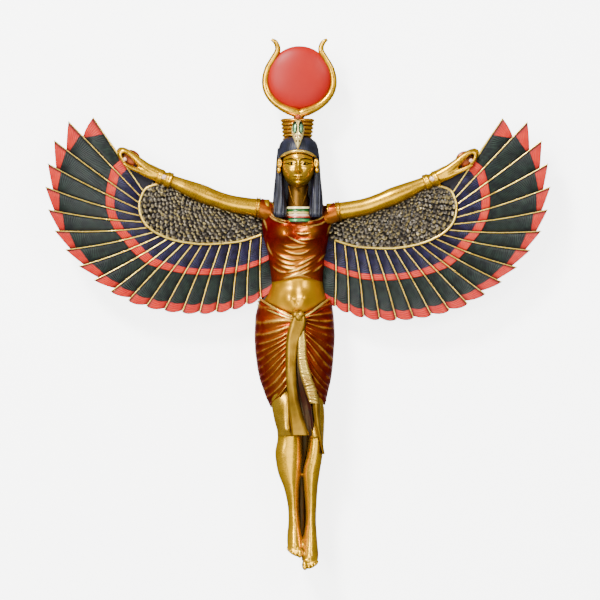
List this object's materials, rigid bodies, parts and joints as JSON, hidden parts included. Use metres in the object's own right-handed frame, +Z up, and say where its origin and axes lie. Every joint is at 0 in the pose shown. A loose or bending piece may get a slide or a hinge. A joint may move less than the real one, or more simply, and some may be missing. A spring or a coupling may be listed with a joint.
{
  "type": "winged goddess wall plaque",
  "caption": "Relief figure of a standing winged goddess with a horned disc crown, spread feathered wings and a pleated skirt, flat-backed to hang on a wall.",
  "frame": {"origin": "on the flat back at chest height, at the point that rests on the wall", "axes": "+Z up, +X to the right seen from the front, +Y out of the flat back into the wall, so the front faces -Y"},
  "size_m": [0.317, 0.0394, 0.334],
  "materials": {
    "painted_resin": "hand-painted cold-cast resin: antique gold figure, copper-red dress, dark green, coral and purple feathers, blue-grey wig"
  },
  "bodies": {
    "root": {"winged_isis": "painted_resin"}
  },
  "joints": []
}
